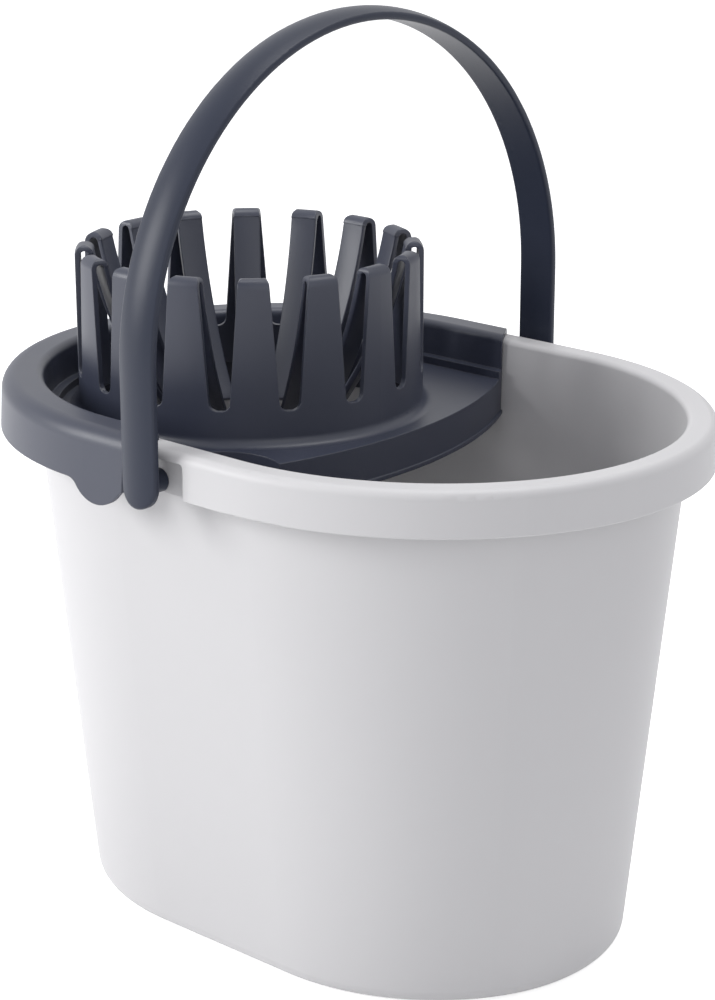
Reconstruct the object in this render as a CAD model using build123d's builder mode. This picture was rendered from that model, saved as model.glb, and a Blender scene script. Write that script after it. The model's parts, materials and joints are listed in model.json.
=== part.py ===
# Oval mop bucket with a snap-in bail handle and a one-piece squeeze wringer.
# Millimetres and degrees. +Z is up and +X points at the open end of the bucket.
# The origin is the centre of the base, on the floor.
import os
from math import atan2, cos, degrees, radians, sin, tan

from build123d import *

os.makedirs("parts", exist_ok=True)

# ---- Driving dimensions ----

# Tub: an oval of flat sides, side bends and tip arcs that widens with height
base_half_width = 100.5
base_half_length = 151.5
bend_centre_drop = 10.7
tip_tuck = 3.3
draft_angle = 5.39
bucket_height = 270.0
wall = 2.5
floor_thickness = 2.8
base_edge_radius = 8.0
foot_ring_width = 14.0
foot_ring_depth = 4.0

# Rim: a channel turned over the top of the wall, open below
rim_reach = 12.3
rim_depth = 22.0
rim_outer_radius = 4.5
rim_inner_radius = 3.0
rim_edge_radius = 0.8

# Handle pivots: a recess in each long side of the rim, with a hole in its floor
pivot_drop = 16.0
pocket_half_width = 18.7
pocket_depth = 4.5
pocket_top_margin = 4.5
pocket_corner_radius = 2.0
pin_radius = 4.0
pin_play = 0.08
thrust_gap = 0.3
boss_radius = 5.6
snap_overhang = 1.3
snap_length = 3.2
snap_draft_angle = 12.0
snap_slot_width = 2.2

# Handle: a crowned strap with two straight legs and a half-round arch
strap_width = 21.7
strap_thickness = 6.0
strap_crown = 2.6
strap_edge_radius = 1.5
strap_rim_gap = 6.2
leg_length = 52.0

# Wringer insert: a collar over the rim, a wall nested in the tub and a tray
insert_wall = 2.4
nest_gap = 0.6
collar_rim_gap = 0.7
collar_draft_angle = 3.3
collar_thickness = 2.8
collar_outer_radius = 8.0
collar_inner_radius = 4.0
collar_lip = 1.5
lobe_setback = 34.0
lobe_radius = 18.0
lobe_drop = 9.8
lobe_blend_radius = 8.0
tray_drop = 19.0
tray_thickness = 2.4
tray_skirt_depth = 20.0
tray_front_reach = 29.0
tray_front_radius = 245.0
front_lip_reach = 1.0
front_lip_height = 2.0
notch_radius = 30.0
notch_setback = 26.0
notch_inset = 1.2
ledge_height = 4.0
ledge_width = 4.5

# Squeeze ring: a slotted band whose outer legs fold over into inner fingers
ring_setback = 70.5
ring_radius = 87.9
ring_height = 82.5
ring_foot_radius = 5.0
finger_count = 16
finger_thickness = 2.6
fold_inner_radius = 2.2
slot_floor_height = 18.0
slot_floor_half_width = 5.0
slot_floor_flat = 0.6
slot_top_half_width = 9.7
slot_splay_angle = 6.0
slot_corner_radius = 2.4
finger_width = 13.8
finger_top_angle = 12.0
finger_end_angle = 37.0
finger_curve_radius = 226.0
finger_end_radius = 2.5
finger_hinge_gap = 0.3

# ---- Levels and offsets worked out from them ----


def flare(level):
    # growth of the tapered wall from the floor to a level
    return level * tan(radians(draft_angle))


def nest(level):
    # growth of the insert's outer face where it nests in the tub
    return flare(level) - wall - nest_gap


side_half_flat = base_half_length + tip_tuck - bend_centre_drop - base_half_width
rim_low = bucket_height - rim_depth
rim_grow = flare(bucket_height) + rim_reach
rim_side = base_half_width + rim_grow
pivot_level = bucket_height - pivot_drop
pocket_floor = rim_side - pocket_depth
pocket_top = bucket_height - pocket_top_margin
strap_inside = rim_side + strap_rim_gap
arch_level = pivot_level + leg_length

collar_top = bucket_height + collar_thickness
collar_low = rim_low - collar_lip
lobe_low = collar_low - lobe_drop
tray_level = bucket_height - tray_drop
tray_low = tray_level - tray_skirt_depth
ledge_level = tray_level + ledge_height
tray_front_centre = tray_front_reach - tray_front_radius
notch_x = tray_front_reach - notch_setback
notch_y = -(base_half_width - notch_inset)
far = 2 * (base_half_length + bucket_height)

fold_outer_radius = fold_inner_radius + finger_thickness
fold_radius = ring_radius - fold_outer_radius
fold_level = tray_level + ring_height - fold_outer_radius
finger_pitch = 360 / finger_count


def oval(grow, level):
    # the tub's plan at a level, offset outwards by grow
    half_width = base_half_width + grow
    half_length = base_half_length + grow
    bend_radius = half_width + bend_centre_drop
    tip_run = (bend_centre_drop**2 - tip_tuck**2) / (2 * tip_tuck)
    turn = degrees(atan2(bend_centre_drop, tip_run))
    with BuildSketch(Plane.XY.offset(level)) as outline:
        with BuildLine():
            Line((0, half_width), (side_half_flat, half_width))
            CenterArc((side_half_flat, -bend_centre_drop), bend_radius, turn, 90 - turn)
            CenterArc((side_half_flat + tip_run, 0), half_length - side_half_flat - tip_run, 0, turn)
            mirror(about=Plane.XZ)
            mirror(about=Plane.YZ)
        make_face()
    return outline.sketch


# ---- Bucket ----


# the space inside the tub, over a floor that is raised within the foot ring
with BuildPart() as tub_space:
    floor_grow = flare(floor_thickness) - wall
    extrude(to_extrude=oval(floor_grow, floor_thickness), amount=bucket_height, taper=-draft_angle)
    fillet(tub_space.faces().sort_by(Axis.Z)[0].edges(), base_edge_radius - wall)
    extrude(to_extrude=oval(wall - foot_ring_width, 0), amount=floor_thickness + foot_ring_depth,
            mode=Mode.SUBTRACT)

with BuildPart() as bucket_body:
    # rim channel
    extrude(to_extrude=oval(rim_grow, rim_low), amount=rim_depth)
    fillet(bucket_body.faces().sort_by(Axis.Z)[-1].edges(), rim_outer_radius)
    fillet(bucket_body.faces().sort_by(Axis.Z)[0].edges(), rim_edge_radius)
    extrude(to_extrude=oval(rim_grow - wall, rim_low), amount=rim_depth - wall, mode=Mode.SUBTRACT)

    # pivot recesses, each backed by a wall that carries the pin
    for side in (1, -1):
        with Locations((0, side * (rim_side - wall / 2), rim_low)):
            Box(2 * (pocket_half_width + wall), pocket_depth + wall / 2, rim_depth - wall,
                align=(Align.CENTER, Align.MAX if side == 1 else Align.MIN, Align.MIN))
        with BuildSketch(Plane.XZ.offset(-side * rim_side)) as pocket:
            with Locations((0, rim_low)):
                Rectangle(2 * pocket_half_width, 2 * (pocket_top - rim_low))
            fillet(pocket.vertices(), pocket_corner_radius)
        extrude(amount=side * pocket_depth, mode=Mode.SUBTRACT)
        with Locations(Plane((0, side * pocket_floor, pivot_level), z_dir=(0, side, 0))):
            Hole(pin_radius + pin_play, depth=wall)

    # tapered tub
    extrude(to_extrude=oval(0, 0), amount=bucket_height, taper=-draft_angle)
    fillet(bucket_body.faces().sort_by(Axis.Z)[0].edges(), base_edge_radius)
    add(tub_space.part, mode=Mode.SUBTRACT)
    extrude(to_extrude=oval(-foot_ring_width, 0), amount=foot_ring_depth, mode=Mode.SUBTRACT)
    fillet(bucket_body.faces().sort_by(Axis.Z)[-1].inner_wires()[0].edges(), rim_inner_radius)

bucket_body.part.label = "bucket_body"
export_step(bucket_body.part, "parts/bucket_body.step")


# ---- Handle ----


# the handle's outline from the side: straight legs with round ends
with BuildPart() as handle_side:
    with BuildSketch(Plane.XZ):
        with Locations((0, pivot_level)):
            Circle(strap_width / 2)
            Rectangle(strap_width, far, align=(Align.CENTER, Align.MIN))
    extrude(amount=far, both=True)

with BuildPart() as bail_handle:
    # strap section at the top of one leg, turned over into the arch
    with BuildSketch(Plane.XY.offset(arch_level)) as strap_section:
        with BuildLine():
            edge = strap_inside + strap_thickness - strap_crown
            outside = strap_inside + strap_thickness
            ThreePointArc((-strap_width / 2, edge), (0, outside), (strap_width / 2, edge))
            Polyline((-strap_width / 2, edge), (-strap_width / 2, strap_inside),
                     (strap_width / 2, strap_inside), (strap_width / 2, edge))
        make_face()
    revolve(axis=Axis((0, 0, arch_level), (1, 0, 0)), revolution_arc=180)
    for turned in (0, 180):
        leg_section = strap_section.sketch.rotate(Axis.Z, turned)
        extrude(to_extrude=leg_section, amount=-(leg_length + strap_width))
    add(handle_side.part, mode=Mode.INTERSECT)
    fillet(bail_handle.edges(), strap_edge_radius)

    # boss, pin and split snap head at each leg
    for side in (1, -1):
        pivot = Plane((0, 0, pivot_level), x_dir=(1, 0, 0), z_dir=(0, side, 0))
        snap_end = pocket_floor - wall - thrust_gap
        with BuildSketch(pivot.offset(pocket_floor + thrust_gap)):
            Circle(boss_radius)
        extrude(amount=strap_rim_gap + pocket_depth - thrust_gap)
        with BuildSketch(pivot.offset(snap_end)):
            Circle(pin_radius)
        extrude(amount=wall + 2 * thrust_gap)
        with BuildSketch(pivot.offset(snap_end)):
            Circle(pin_radius + snap_overhang)
            Rectangle(2 * boss_radius, snap_slot_width, mode=Mode.SUBTRACT)
        extrude(amount=-snap_length, taper=snap_draft_angle)

bail_handle.part.label = "bail_handle"
export_step(bail_handle.part, "parts/bail_handle.step")


# ---- Wringer insert ----


# the collar's skirt is trimmed level, leaving a round lobe on each long side
with BuildPart() as skirt_trim:
    with BuildSketch(Plane.XZ) as below_skirt:
        with Locations((0, collar_low)):
            Rectangle(2 * far, far, align=(Align.CENTER, Align.MAX))
        with Locations((-lobe_setback, lobe_low + lobe_radius)):
            Circle(lobe_radius, mode=Mode.SUBTRACT)
        lobe_ends = below_skirt.vertices().filter_by_position(Axis.X, -lobe_setback - lobe_radius, 0)
        fillet(lobe_ends, lobe_blend_radius)
    extrude(amount=far, both=True)

# the rim's clearance inside the collar
with BuildPart() as rim_space:
    clearance_grow = rim_grow + collar_rim_gap
    clearance_depth = bucket_height - lobe_low
    extrude(to_extrude=oval(clearance_grow, bucket_height), amount=-clearance_depth,
            taper=-collar_draft_angle)
    fillet(rim_space.faces().sort_by(Axis.Z)[-1].edges(), rim_outer_radius + collar_rim_gap)

# the bowl above the tray, with a narrow ledge round its foot
with BuildPart() as bowl:
    bowl_foot = oval(nest(ledge_level) - insert_wall, ledge_level)
    extrude(to_extrude=bowl_foot, amount=collar_top - ledge_level, taper=-draft_angle)
    ledge_edge = oval(nest(tray_level) - insert_wall - ledge_width, tray_level)
    extrude(to_extrude=ledge_edge, amount=ledge_height)

# the space under the tray, inside its skirt
with BuildPart() as tray_space:
    skirt_inside = oval(nest(tray_low) - insert_wall, tray_low)
    extrude(to_extrude=skirt_inside, amount=tray_skirt_depth - tray_thickness, taper=-draft_angle)
    with Locations((tray_front_centre, 0, 0)):
        Cylinder(tray_front_radius - insert_wall, 2 * far, mode=Mode.INTERSECT)
    with Locations((notch_x, notch_y, 0)):
        Cylinder(notch_radius + insert_wall, 2 * far, mode=Mode.SUBTRACT)

# a narrow lip along the foot of the bowed front wall
with BuildPart() as front_lip:
    extrude(to_extrude=oval(nest(tray_low), tray_low), amount=front_lip_height)
    with Locations((tray_front_centre, 0, 0)):
        Cylinder(tray_front_radius + front_lip_reach, 2 * far, mode=Mode.INTERSECT)
        Cylinder(tray_front_radius - insert_wall, 2 * far, mode=Mode.SUBTRACT)
    with Locations((notch_x, notch_y, 0)):
        Cylinder(notch_radius, 2 * far, mode=Mode.SUBTRACT)

# where the squeeze ring stands; x is outwards from its centre
ring_section = Plane((-ring_setback, 0, 0), x_dir=(1, 0, 0), z_dir=(0, -1, 0))
fold_end = 180 - finger_top_angle

# the slotted ring: outer legs on a common band, each turned over at its top
with BuildPart() as squeeze_ring:
    with BuildSketch(ring_section):
        with BuildLine():
            foot = tray_level - tray_thickness
            foot_edge = ring_radius + ring_foot_radius
            foot_bend = (foot_edge, tray_level + ring_foot_radius)
            fold_centre = (fold_radius, fold_level)
            inside = ring_radius - finger_thickness
            outer_fold = CenterArc(fold_centre, fold_outer_radius, 0, fold_end)
            inner_fold = CenterArc(fold_centre, fold_inner_radius, 0, fold_end)
            CenterArc(foot_bend, ring_foot_radius, 180, 90)
            Line((ring_radius, foot_bend[1]), outer_fold @ 0)
            Line(outer_fold @ 1, inner_fold @ 1)
            Polyline(inner_fold @ 0, (inside, foot), (foot_edge, foot), (foot_edge, tray_level))
        make_face()
    revolve(axis=Axis((-ring_setback, 0, 0), (0, 0, 1)))


def slot_outline(distance):
    # a slot at a distance from the ring's centre: round floor, head opened out at the folds
    narrowing = (ring_radius - distance) * tan(radians(slot_splay_angle))
    floor_half = slot_floor_half_width - narrowing
    top_half = slot_top_half_width - narrowing
    floor_level = tray_level + slot_floor_height
    shoulder = tray_level + ring_height - slot_corner_radius
    head = shoulder + 2 * slot_corner_radius
    corner = top_half + slot_corner_radius
    across = Plane((distance - ring_setback, 0, 0), x_dir=(0, -1, 0), z_dir=(-1, 0, 0))
    with BuildSketch(across) as outline:
        with BuildLine():
            Polyline((0, floor_level), (floor_half, floor_level), (top_half, shoulder))
            CenterArc((corner, shoulder), slot_corner_radius, 90, 90)
            Polyline((corner, shoulder + slot_corner_radius), (corner, head), (0, head))
            mirror(about=Plane.YZ)
        make_face()
        fillet(outline.vertices().group_by(Axis.Y)[0], floor_half - slot_floor_flat)
    return outline.sketch


# one slot between two legs, from outside the ring to inside the folds
with BuildPart() as slot:
    outer_end = slot_outline(ring_radius + finger_thickness)
    inner_end = slot_outline(fold_radius - 2 * fold_outer_radius)
    loft(sections=[outer_end, inner_end], ruled=True)

with BuildPart() as wringer_insert:
    collar_depth = collar_top - lobe_low
    collar_grow = rim_grow + collar_rim_gap + insert_wall
    extrude(to_extrude=oval(collar_grow, collar_top), amount=-collar_depth, taper=-collar_draft_angle)
    fillet(wringer_insert.faces().sort_by(Axis.Z)[-1].edges(), collar_outer_radius)
    add(skirt_trim.part, mode=Mode.SUBTRACT)
    add(rim_space.part, mode=Mode.SUBTRACT)
    nest_height = bucket_height - tray_low
    extrude(to_extrude=oval(nest(tray_low), tray_low), amount=nest_height, taper=-draft_angle)
    add(bowl.part, mode=Mode.SUBTRACT)
    fillet(wringer_insert.faces().sort_by(Axis.Z)[-1].inner_wires()[0].edges(), collar_inner_radius)

    # bowed front edge across the collar, wall and tray, and a round notch at one corner
    with Locations((tray_front_centre, 0, 0)):
        Cylinder(tray_front_radius, 2 * far, mode=Mode.INTERSECT)
    with Locations((notch_x, notch_y, 0)):
        Cylinder(notch_radius, 2 * far, mode=Mode.SUBTRACT)
    add(tray_space.part, mode=Mode.SUBTRACT)
    add(front_lip.part)
    with Locations((-ring_setback, 0, 0)):
        Cylinder(ring_radius, 2 * far, mode=Mode.SUBTRACT)
    add(squeeze_ring.part)
    for index in range(finger_count):
        turn = finger_pitch * (index + 0.5)
        add(slot.part.rotate(Axis((-ring_setback, 0, 0), (0, 0, 1)), turn), mode=Mode.SUBTRACT)

wringer_insert.part.label = "wringer_insert"
export_step(wringer_insert.part, "parts/wringer_insert.step")


# ---- Squeeze fingers ----


# one finger in line with +X, hanging from its fold and curving in to the centre
with BuildPart() as finger:
    with BuildSketch(ring_section):
        with BuildLine():
            lean = radians(finger_top_angle)
            middle = (fold_inner_radius + fold_outer_radius) / 2
            curve_x = fold_radius - (middle + finger_curve_radius) * cos(lean)
            curve_z = fold_level + (middle + finger_curve_radius) * sin(lean)
            top_turn = finger_top_angle + degrees(finger_hinge_gap / finger_curve_radius)
            sweep = finger_end_angle - top_turn
            outer_curve = finger_curve_radius + finger_thickness / 2
            inner_curve = finger_curve_radius - finger_thickness / 2
            outer = CenterArc((curve_x, curve_z), outer_curve, -top_turn, -sweep)
            inner = CenterArc((curve_x, curve_z), inner_curve, -top_turn, -sweep)
            Line(outer @ 0, inner @ 0)
            Line(outer @ 1, inner @ 1)
        make_face()
    extrude(amount=finger_width / 2, both=True)
    finger_tip = finger.faces().sort_by(Axis.Z)[0]
    fillet(finger_tip.edges().filter_by(Axis.Y, reverse=True), finger_end_radius)

for index in range(finger_count):
    name = f"squeeze_finger_{index + 1:02d}"
    squeeze_finger = finger.part.rotate(Axis((-ring_setback, 0, 0), (0, 0, 1)), index * finger_pitch)
    squeeze_finger.label = name
    export_step(squeeze_finger, f"parts/{name}.step")
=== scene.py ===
import json
import bpy
import bmesh
from math import cos, pi, radians, sin
from mathutils import Matrix, Vector


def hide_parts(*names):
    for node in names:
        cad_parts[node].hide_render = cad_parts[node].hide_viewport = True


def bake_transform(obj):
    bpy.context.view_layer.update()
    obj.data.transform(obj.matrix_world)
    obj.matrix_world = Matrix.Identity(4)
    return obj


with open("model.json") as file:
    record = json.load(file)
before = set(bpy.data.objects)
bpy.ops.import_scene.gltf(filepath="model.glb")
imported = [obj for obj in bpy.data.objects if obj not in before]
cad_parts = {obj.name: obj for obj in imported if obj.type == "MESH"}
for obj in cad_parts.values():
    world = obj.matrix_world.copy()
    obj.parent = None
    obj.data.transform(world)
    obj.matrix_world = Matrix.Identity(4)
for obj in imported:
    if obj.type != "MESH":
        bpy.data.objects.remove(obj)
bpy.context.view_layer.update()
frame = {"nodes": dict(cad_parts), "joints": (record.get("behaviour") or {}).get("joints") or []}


def clearSelection():
    if bpy.context.object and bpy.context.object.mode != "OBJECT":
        bpy.ops.object.mode_set(mode="OBJECT")
    bpy.ops.object.select_all(action="DESELECT")


def makeActive(obj):
    clearSelection()
    obj.select_set(True)
    bpy.context.view_layer.objects.active = obj


def pickFaces(obj, test):
    # only the faces that pass the test, in edit mode
    bpy.ops.mesh.select_all(action="DESELECT")
    bpy.ops.mesh.select_mode(type="FACE")
    mesh = bmesh.from_edit_mesh(obj.data)
    for face in mesh.faces:
        face.select_set(bool(test(face)))
    mesh.select_flush_mode()
    bmesh.update_edit_mesh(obj.data)


def pickEdges(obj, test):
    # only the edges that pass the test, in edit mode
    bpy.ops.mesh.select_all(action="DESELECT")
    bpy.ops.mesh.select_mode(type="EDGE")
    mesh = bmesh.from_edit_mesh(obj.data)
    for edge in mesh.edges:
        edge.select_set(bool(test(edge)))
    mesh.select_flush_mode()
    bmesh.update_edit_mesh(obj.data)


cameraView = {
    "place": (0.83217, -0.93429, 0.61565),
    "turn": 41.616,          # degrees round from the front
    "tilt": 18.161,          # degrees down from level
    "sensor": 36,            # mm
    "lens": 94.44,           # mm
    "shiftY": 0.01212,
    "farthest": 50,
}


def placeCamera():
    data = bpy.data.cameras.new("mainCamera")
    camera = bpy.data.objects.new("mainCamera", data)
    bpy.context.collection.objects.link(camera)
    data.sensor_width = cameraView["sensor"]
    data.lens = cameraView["lens"]
    data.shift_y = cameraView["shiftY"]
    data.clip_end = cameraView["farthest"]
    camera.location = cameraView["place"]
    camera.rotation_euler = (radians(90 - cameraView["tilt"]), 0, radians(cameraView["turn"]))
    bpy.context.scene.camera = camera


placeCamera()
print("camera placed")

studio = {
    "worldColour": (0.95, 0.95, 1.0, 1), "worldLevel": 0.47,
    "backdropColour": (1, 1, 1, 1), "backdropLevel": 1,
    "keyPlace": (-1.6, -2.1, 1.3), "keySize": 1.4, "keyPower": 52,
    "fillPlace": (2.5, -1.2, 1.2), "fillSize": 1.8, "fillPower": 7.5,
    "topPlace": (0.2, 0.5, 2.6), "topSize": 1.4, "topPower": 26,
    "aim": (0, 0, 0.22),
    "floorSize": 12, "floorLevel": -0.0005,
    "floorColour": (0.86, 0.86, 0.86, 1), "floorGlow": 0.72,
}


def addLamp(name):
    place = studio[name + "Place"]
    data = bpy.data.lights.new(name + "Lamp", "AREA")
    data.shape = "SQUARE"
    data.size = studio[name + "Size"]
    data.energy = studio[name + "Power"]
    lamp = bpy.data.objects.new(name + "Lamp", data)
    bpy.context.collection.objects.link(lamp)
    lamp.location = place
    aim = Vector(studio["aim"]) - Vector(place)
    lamp.rotation_euler = aim.to_track_quat("-Z", "Y").to_euler()


def seenRays(tree):
    # 1 for rays that show the background: camera, glossy and transmission
    path = tree.nodes.new("ShaderNodeLightPath")
    direct = tree.nodes.new("ShaderNodeMath")
    direct.operation = "MAXIMUM"
    seen = tree.nodes.new("ShaderNodeMath")
    seen.operation = "MAXIMUM"
    tree.links.new(path.outputs["Is Camera Ray"], direct.inputs[0])
    tree.links.new(path.outputs["Is Glossy Ray"], direct.inputs[1])
    tree.links.new(direct.outputs[0], seen.inputs[0])
    tree.links.new(path.outputs["Is Transmission Ray"], seen.inputs[1])
    return seen.outputs[0]


def lightWorld():
    world = bpy.data.worlds.new("studio")
    bpy.context.scene.world = world
    world.use_nodes = True
    tree = world.node_tree
    tree.nodes.clear()
    plain = tree.nodes.new("ShaderNodeBackground")
    plain.inputs["Color"].default_value = studio["worldColour"]
    plain.inputs["Strength"].default_value = studio["worldLevel"]
    white = tree.nodes.new("ShaderNodeBackground")
    white.inputs["Color"].default_value = studio["backdropColour"]
    white.inputs["Strength"].default_value = studio["backdropLevel"]
    mix = tree.nodes.new("ShaderNodeMixShader")
    out = tree.nodes.new("ShaderNodeOutputWorld")
    tree.links.new(seenRays(tree), mix.inputs[0])
    tree.links.new(plain.outputs[0], mix.inputs[1])
    tree.links.new(white.outputs[0], mix.inputs[2])
    tree.links.new(mix.outputs[0], out.inputs["Surface"])


def paleFloor():
    # matte, and lifted to white only where it is seen, so that it keeps its shadow
    material = bpy.data.materials.new("paleFloor")
    material.use_nodes = True
    tree = material.node_tree
    tree.nodes.clear()
    matte = tree.nodes.new("ShaderNodeBsdfDiffuse")
    matte.inputs["Color"].default_value = studio["floorColour"]
    glow = tree.nodes.new("ShaderNodeEmission")
    glow.inputs["Color"].default_value = studio["backdropColour"]
    glow.inputs["Strength"].default_value = studio["floorGlow"]
    dark = tree.nodes.new("ShaderNodeEmission")
    dark.inputs["Strength"].default_value = 0
    choose = tree.nodes.new("ShaderNodeMixShader")
    both = tree.nodes.new("ShaderNodeAddShader")
    out = tree.nodes.new("ShaderNodeOutputMaterial")
    tree.links.new(seenRays(tree), choose.inputs[0])
    tree.links.new(dark.outputs[0], choose.inputs[1])
    tree.links.new(glow.outputs[0], choose.inputs[2])
    tree.links.new(matte.outputs[0], both.inputs[0])
    tree.links.new(choose.outputs[0], both.inputs[1])
    tree.links.new(both.outputs[0], out.inputs["Surface"])
    return material


def layFloor():
    clearSelection()
    bpy.ops.mesh.primitive_plane_add(size=studio["floorSize"], location=(0, 0, studio["floorLevel"]))
    floor = bpy.context.object
    floor.name = "studioFloor"
    floor.data.materials.append(paleFloor())


addLamp("key")
addLamp("fill")
addLamp("top")
lightWorld()
layFloor()
bpy.context.scene.view_settings.view_transform = "Standard"
print("studio lit")

grainPattern = {
    "grainDetail": 3, "grainRoughness": 0.6,
    "mottleDetail": 4, "mottleRoughness": 0.55,
}
edgePattern = {
    "samples": 8,
    "flatAbove": 0.985, "edgeBelow": 0.86,    # cosines between the soft and the true normal
}


def groupSocket(tree, name, way, kind, value=None):
    socket = tree.interface.new_socket(name=name, in_out=way, socket_type=kind)
    if value is not None:
        socket.default_value = value


def placeNoise(tree, detail, roughness):
    noise = tree.nodes.new("ShaderNodeTexNoise")
    noise.inputs["Detail"].default_value = detail
    noise.inputs["Roughness"].default_value = roughness
    return noise


def buildGrainGroup():
    # fine moulded grain: a height to bump with, and a faint mottle
    tree = bpy.data.node_groups.new("mouldedGrain", "ShaderNodeTree")
    groupSocket(tree, "Grain Size", "INPUT", "NodeSocketFloat", 900)
    groupSocket(tree, "Mottle Size", "INPUT", "NodeSocketFloat", 14)
    groupSocket(tree, "Height", "OUTPUT", "NodeSocketFloat")
    groupSocket(tree, "Mottle", "OUTPUT", "NodeSocketFloat")
    start = tree.nodes.new("NodeGroupInput")
    end = tree.nodes.new("NodeGroupOutput")
    place = tree.nodes.new("ShaderNodeTexCoord")
    grain = placeNoise(tree, grainPattern["grainDetail"], grainPattern["grainRoughness"])
    mottle = placeNoise(tree, grainPattern["mottleDetail"], grainPattern["mottleRoughness"])
    tree.links.new(place.outputs["Object"], grain.inputs["Vector"])
    tree.links.new(place.outputs["Object"], mottle.inputs["Vector"])
    tree.links.new(start.outputs["Grain Size"], grain.inputs["Scale"])
    tree.links.new(start.outputs["Mottle Size"], mottle.inputs["Scale"])
    tree.links.new(grain.outputs["Fac"], end.inputs["Height"])
    tree.links.new(mottle.outputs["Fac"], end.inputs["Mottle"])
    return tree


def buildEdgeGroup():
    # rounded corners on moulded edges, with a mask that is 1 on the edge itself
    tree = bpy.data.node_groups.new("softEdge", "ShaderNodeTree")
    groupSocket(tree, "Radius", "INPUT", "NodeSocketFloat", 0.0007)
    groupSocket(tree, "Normal", "OUTPUT", "NodeSocketVector")
    groupSocket(tree, "Edge", "OUTPUT", "NodeSocketFloat")
    start = tree.nodes.new("NodeGroupInput")
    end = tree.nodes.new("NodeGroupOutput")
    bevel = tree.nodes.new("ShaderNodeBevel")
    bevel.samples = edgePattern["samples"]
    shape = tree.nodes.new("ShaderNodeNewGeometry")
    dot = tree.nodes.new("ShaderNodeVectorMath")
    dot.operation = "DOT_PRODUCT"
    ramp = tree.nodes.new("ShaderNodeMapRange")
    ramp.inputs["From Min"].default_value = edgePattern["flatAbove"]
    ramp.inputs["From Max"].default_value = edgePattern["edgeBelow"]
    tree.links.new(start.outputs["Radius"], bevel.inputs["Radius"])
    tree.links.new(bevel.outputs["Normal"], dot.inputs[0])
    tree.links.new(shape.outputs["Normal"], dot.inputs[1])
    tree.links.new(dot.outputs["Value"], ramp.inputs["Value"])
    tree.links.new(bevel.outputs["Normal"], end.inputs["Normal"])
    tree.links.new(ramp.outputs["Result"], end.inputs["Edge"])
    return tree


grainGroup = buildGrainGroup()
edgeGroup = buildEdgeGroup()

greyTub = {
    "colour": (0.622, 0.617, 0.625, 1), "mottle": (0.647, 0.642, 0.648, 1),
    # the edge colour is a painted highlight, paler where rounded edges catch the light
    "edgeHighlightColour": (0.74, 0.74, 0.75, 1), "edgeHighlightShare": 0.35,
    "roughLow": 0.42, "roughHigh": 0.5, "gloss": 0.4, "refraction": 1.49,
    "grainSize": 1100, "mottleSize": 9, "edgeRadius": 0.0008,
    "grainDepth": 0.12, "grainHeight": 0.0002,
}
charcoalInsert = {
    "colour": (0.031, 0.036, 0.059, 1), "mottle": (0.037, 0.043, 0.069, 1),
    # the edge colour is a painted highlight, paler where rounded edges catch the light
    "edgeHighlightColour": (0.06, 0.066, 0.088, 1), "edgeHighlightShare": 0.5,
    "roughLow": 0.36, "roughHigh": 0.46, "gloss": 0.62, "refraction": 1.49,
    "grainSize": 1400, "mottleSize": 16, "edgeRadius": 0.0007,
    "grainDepth": 0.18, "grainHeight": 0.0002,
}
charcoalHandle = dict(
    charcoalInsert, colour=(0.022, 0.027, 0.045, 1), mottle=(0.026, 0.032, 0.053, 1),
    edgeRadius=0.0006, roughLow=0.34, roughHigh=0.42, gloss=0.28,
)


def placeGroup(tree, group):
    node = tree.nodes.new("ShaderNodeGroup")
    node.node_tree = group
    return node


def mixColour(tree, mask, high):
    mix = tree.nodes.new("ShaderNodeMix")
    mix.data_type = "RGBA"
    mix.inputs["B"].default_value = high
    tree.links.new(mask, mix.inputs["Factor"])
    return mix


def mouldedPlastic(name, look):
    material = bpy.data.materials.new(name)
    material.use_nodes = True
    tree = material.node_tree
    shader = tree.nodes["Principled BSDF"]
    shader.inputs["IOR"].default_value = look["refraction"]
    shader.inputs["Specular IOR Level"].default_value = look["gloss"]
    grain = placeGroup(tree, grainGroup)
    grain.inputs["Grain Size"].default_value = look["grainSize"]
    grain.inputs["Mottle Size"].default_value = look["mottleSize"]
    edge = placeGroup(tree, edgeGroup)
    edge.inputs["Radius"].default_value = look["edgeRadius"]

    # a faint mottle, and a painted highlight along the edges, made paler where rounded edges catch the
    # light
    mottled = mixColour(tree, grain.outputs["Mottle"], look["mottle"])
    mottled.inputs["A"].default_value = look["colour"]
    fade = tree.nodes.new("ShaderNodeMath")
    fade.operation = "MULTIPLY"
    fade.inputs[1].default_value = look["edgeHighlightShare"]
    tree.links.new(edge.outputs["Edge"], fade.inputs[0])
    paintedEdgeHighlight = mixColour(tree, fade.outputs[0], look["edgeHighlightColour"])
    tree.links.new(mottled.outputs["Result"], paintedEdgeHighlight.inputs["A"])
    tree.links.new(paintedEdgeHighlight.outputs["Result"], shader.inputs["Base Color"])

    # the sheen drifts with the mottle
    sheen = tree.nodes.new("ShaderNodeMapRange")
    sheen.inputs["To Min"].default_value = look["roughLow"]
    sheen.inputs["To Max"].default_value = look["roughHigh"]
    tree.links.new(grain.outputs["Mottle"], sheen.inputs["Value"])
    tree.links.new(sheen.outputs["Result"], shader.inputs["Roughness"])
    bump = tree.nodes.new("ShaderNodeBump")
    bump.inputs["Strength"].default_value = look["grainDepth"]
    bump.inputs["Distance"].default_value = look["grainHeight"]
    tree.links.new(grain.outputs["Height"], bump.inputs["Height"])
    tree.links.new(edge.outputs["Normal"], bump.inputs["Normal"])
    tree.links.new(bump.outputs["Normal"], shader.inputs["Normal"])
    return material


def dress(node, finish):
    obj = frame["nodes"][node]
    for place in obj.material_slots:
        place.material = finish
    if not obj.material_slots:
        obj.data.materials.append(finish)


insertFinish = mouldedPlastic("charcoalInsertPlastic", charcoalInsert)
dress("bucket_body", mouldedPlastic("greyTubPlastic", greyTub))
dress("bail_handle", mouldedPlastic("charcoalHandlePlastic", charcoalHandle))
dress("wringer_insert", insertFinish)
print("finishes made")

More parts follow.
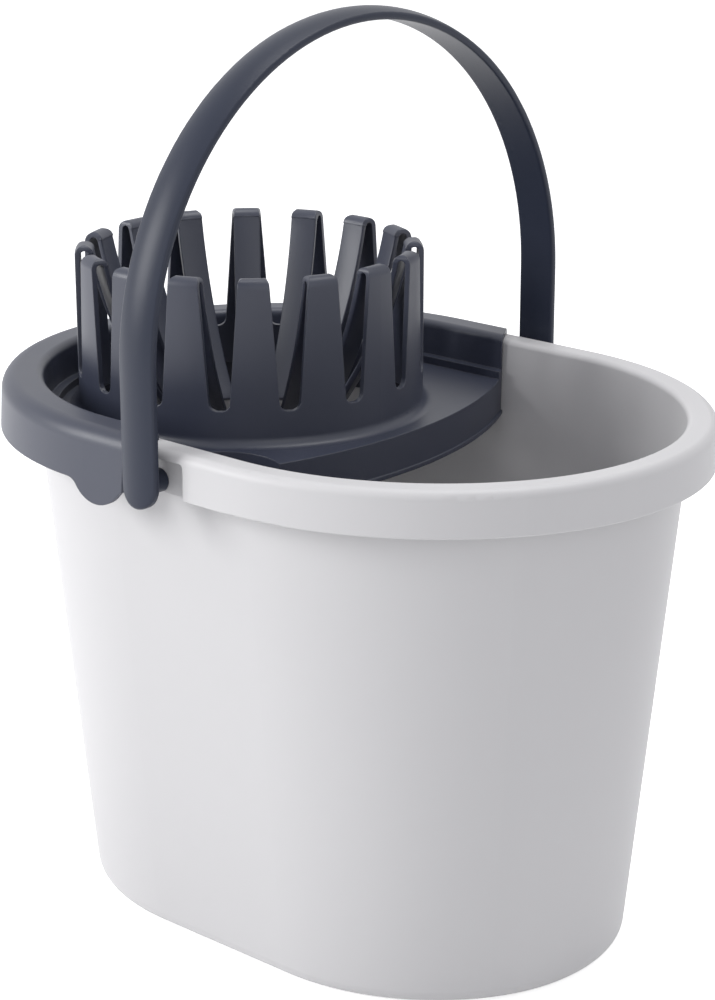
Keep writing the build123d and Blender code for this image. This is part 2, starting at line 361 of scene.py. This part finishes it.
strapShape = {
    "width": 0.01386, "thickness": 0.00264,
    "topAngle": 12, "endAngle": 37,    # along its own curve
    "curveRadius": 0.226, "curveSteps": 22,
    "foldInside": 0.0022, "foldMiddle": 0.0035,    # the fold's radii, inside and half through its wall
    "foldAngle": 16, "foldSteps": 4,    # the top's way up the fold
    "topShrink": (0.8, 0.97, 0.8),
    "endRadius": 0.0025, "roundSteps": 5,
    "edgeRadius": 0.0005, "edgeSteps": 3,
    "bendLength": 0.014,     # of the strap below its fold
    "sharpAngle": 50, "smoothAngle": 35,
    "nearEnough": 0.0001, "mergeWithin": 0.00001,
}


def placeStraps():
    # the hinges stand on the inside of the folds, at the strap's top angle
    shape = strapShape
    hinges = [Vector(joint["pos_m"]) for joint in frame["joints"] if "finger_flex" in joint["name"]]
    topAngle = radians(shape["topAngle"])
    outwards = Vector((cos(topAngle), 0, -sin(topAngle)))
    foldCentre = hinges[0] + shape["foldInside"] * outwards
    return {
        "count": len(hinges),
        "ringCentre": sum(hinges, Vector()) / len(hinges),
        "foldCentre": foldCentre,
        "curveCentre": foldCentre - (shape["foldMiddle"] + shape["curveRadius"]) * outwards,
    }


def alongCurve(centre, angle):
    return centre + strapShape["curveRadius"] * Vector((cos(angle), 0, -sin(angle)))


def startStrap(curveCentre):
    # its section across the strap's top, square to the curve
    shape = strapShape
    clearSelection()
    bpy.ops.mesh.primitive_plane_add(size=1, location=alongCurve(curveCentre, 0))
    strap = bpy.context.object
    bpy.ops.object.mode_set(mode="EDIT")
    bpy.ops.transform.resize(value=(shape["thickness"], shape["width"], 1))
    bpy.ops.object.mode_set(mode="OBJECT")
    bpy.ops.object.transform_apply(location=True, rotation=True, scale=True)
    down = Matrix.Rotation(radians(shape["topAngle"]), 4, "Y")
    strap.data.transform(Matrix.Translation(curveCentre) @ down @ Matrix.Translation(-curveCentre))
    return strap


def sweepStrap(strap, curveCentre, foldCentre):
    # down its own curve, then up into the fold, where its end narrows to lie inside the moulding
    shape = strapShape
    half = shape["thickness"] / 2
    topLevel = strap.data.polygons[0].center.z
    bpy.ops.object.mode_set(mode="EDIT")
    bpy.ops.mesh.select_all(action="SELECT")
    sweep = radians(shape["endAngle"] - shape["topAngle"])
    bpy.ops.mesh.spin(steps=shape["curveSteps"], angle=-sweep, center=curveCentre, axis=(0, 1, 0))

    def isTop(face):
        place = face.calc_center_median()
        return abs(place.y) < half and abs(place.z - topLevel) < half / 4

    pickFaces(strap, isTop)
    rise = radians(shape["foldAngle"])
    bpy.ops.mesh.spin(steps=shape["foldSteps"], angle=-rise, center=foldCentre, axis=(0, 1, 0))
    mesh = bmesh.from_edit_mesh(strap.data)
    top = [face.calc_center_median() for face in mesh.faces if face.select]
    bpy.ops.transform.resize(value=shape["topShrink"], center_override=top[0])


def softenStrap(strap):
    # the free end is rounded in plan, then all its long edges and the end are softened
    shape = strapShape
    side = shape["width"] / 2 - shape["nearEnough"]
    heights = [vertex.co.z for vertex in bmesh.from_edit_mesh(strap.data).verts]
    endLevel = min(heights) + shape["thickness"]

    def isEndCorner(edge):
        a, b = (vertex.co for vertex in edge.verts)
        isThin = abs((a - b).length - shape["thickness"]) < shape["nearEnough"]
        return isThin and max(a.z, b.z) < endLevel and abs(a.y) > side

    pickEdges(strap, isEndCorner)
    bpy.ops.mesh.bevel(offset=shape["endRadius"], segments=shape["roundSteps"])
    bpy.ops.mesh.select_all(action="SELECT")
    bpy.ops.mesh.remove_doubles(threshold=shape["mergeWithin"])
    bpy.ops.mesh.normals_make_consistent(inside=False)
    hiddenLevel = max(heights) - shape["thickness"] / 2

    def isSharp(edge):
        isCorner = len(edge.link_faces) == 2 and edge.calc_face_angle() > radians(shape["sharpAngle"])
        return isCorner and min(vertex.co.z for vertex in edge.verts) <= hiddenLevel

    pickEdges(strap, isSharp)
    bpy.ops.mesh.bevel(offset=shape["edgeRadius"], segments=shape["edgeSteps"])
    makeActive(strap)
    bpy.ops.object.shade_smooth_by_angle(angle=radians(shape["smoothAngle"]))


def hangStraps():
    # one strap in line with +X, copied round the ring, each bending out of its fold
    ring = placeStraps()
    pattern = startStrap(ring["curveCentre"])
    sweepStrap(pattern, ring["curveCentre"], ring["foldCentre"])
    softenStrap(pattern)
    middle = Matrix.Translation(ring["ringCentre"])
    for index in range(ring["count"]):
        number = f"{index + 1:02d}"
        turn = Matrix.Rotation(2 * pi * index / ring["count"], 4, "Z")
        around = middle @ turn @ middle.inverted()
        strap = bpy.data.objects.new(f"strap{number}", pattern.data.copy())
        bpy.context.collection.objects.link(strap)
        strap.data.transform(around)
        strap.data.materials.append(insertFinish)
        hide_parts(f"squeeze_finger_{number}")
        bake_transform(strap)
    bpy.data.objects.remove(pattern)


hangStraps()
print("straps hung")
